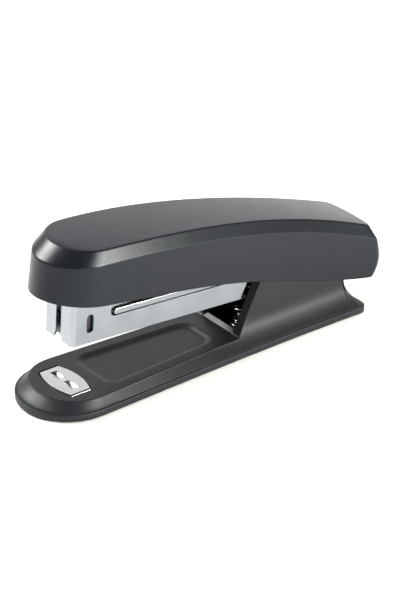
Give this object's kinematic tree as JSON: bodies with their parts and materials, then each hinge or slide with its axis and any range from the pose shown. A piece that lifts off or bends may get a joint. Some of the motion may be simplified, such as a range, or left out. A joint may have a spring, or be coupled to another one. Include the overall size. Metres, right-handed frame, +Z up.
{
  "type": "stapler",
  "caption": "Half-strip desk stapler: black plastic base and hinged cover, plated steel magazine with a sliding pusher, anvil in the nose of the base.",
  "frame": {"origin": "middle of the stapler's length and width, on the table under the base pad", "axes": "+X runs along the stapler from its nose to the pivot end, +Y across it, +Z up"},
  "size_m": [0.1393, 0.0358, 0.0573],
  "materials": {
    "base_plastic": "fine satin moulded black",
    "cover_plastic": "fine satin moulded black",
    "pad_rubber": "matt black elastomer",
    "anvil_steel": "bright nickel-plated steel",
    "channel_steel": "bright nickel-plated sheet steel",
    "rail_steel": "bright sheet steel",
    "bar_steel": "bright nickel-plated steel",
    "pusher_steel": "bright sheet steel",
    "frame_steel": "plain plated sheet steel",
    "blade_steel": "ground hardened steel",
    "spring_steel": "bright drawn spring steel",
    "pin_steel": "turned steel",
    "ring_steel": "plated steel",
    "rivet_steel": "plated steel",
    "screw_steel": "zinc-plated steel"
  },
  "bodies": {
    "base": {"base_shell": "base_plastic", "base_pad": "pad_rubber", "anvil_plate": "anvil_steel", "pivot_pin": "pin_steel", "pin_ring_near": "ring_steel", "pin_ring_far": "ring_steel", "spring_cup": "ring_steel", "lift_spring": "spring_steel"},
    "magazine": {"magazine_channel": "channel_steel", "core_rail": "rail_steel", "guide_rod": "pin_steel", "rod_stop": "rail_steel", "rail_rivet_front": "rivet_steel", "rail_rivet_rear": "rivet_steel", "pull_bar_near": "bar_steel", "pull_bar_far": "bar_steel", "pusher_spring": "spring_steel"},
    "pusher": {"pusher": "pusher_steel"},
    "cover": {"cover_shell": "cover_plastic", "cover_frame": "frame_steel", "driver_blade": "blade_steel", "blade_rivet_near": "rivet_steel", "blade_rivet_far": "rivet_steel", "staple_leaf": "spring_steel", "leaf_rivet": "rivet_steel", "frame_screw_front": "screw_steel", "frame_screw_rear": "screw_steel"}
  },
  "joints": [
    {"name": "magazine_pivot", "type": "hinge", "parent": "base", "child": "magazine", "pos_m": [0.057, 0, 0.023], "axis": [0, -1, 0], "range_deg": [0, 8], "stiffness_Nm_per_rad": 0.6, "springref_deg": -11.46, "deforming": ["lift_spring"]},
    {"name": "cover_pivot", "type": "hinge", "parent": "magazine", "child": "cover", "pos_m": [0.057, 0, 0.023], "axis": [0, 1, 0], "range_deg": [-4.6, 75], "stiffness_Nm_per_rad": 0.25, "springref_deg": 5.73},
    {"name": "pusher_slide", "type": "slide", "parent": "magazine", "child": "pusher", "axis": [0.9975, 0, -0.0705], "range_m": [0, 0.039], "stiffness_N_per_m": 25, "springref_m": -0.02, "deforming": ["pusher_spring"]}
  ]
}
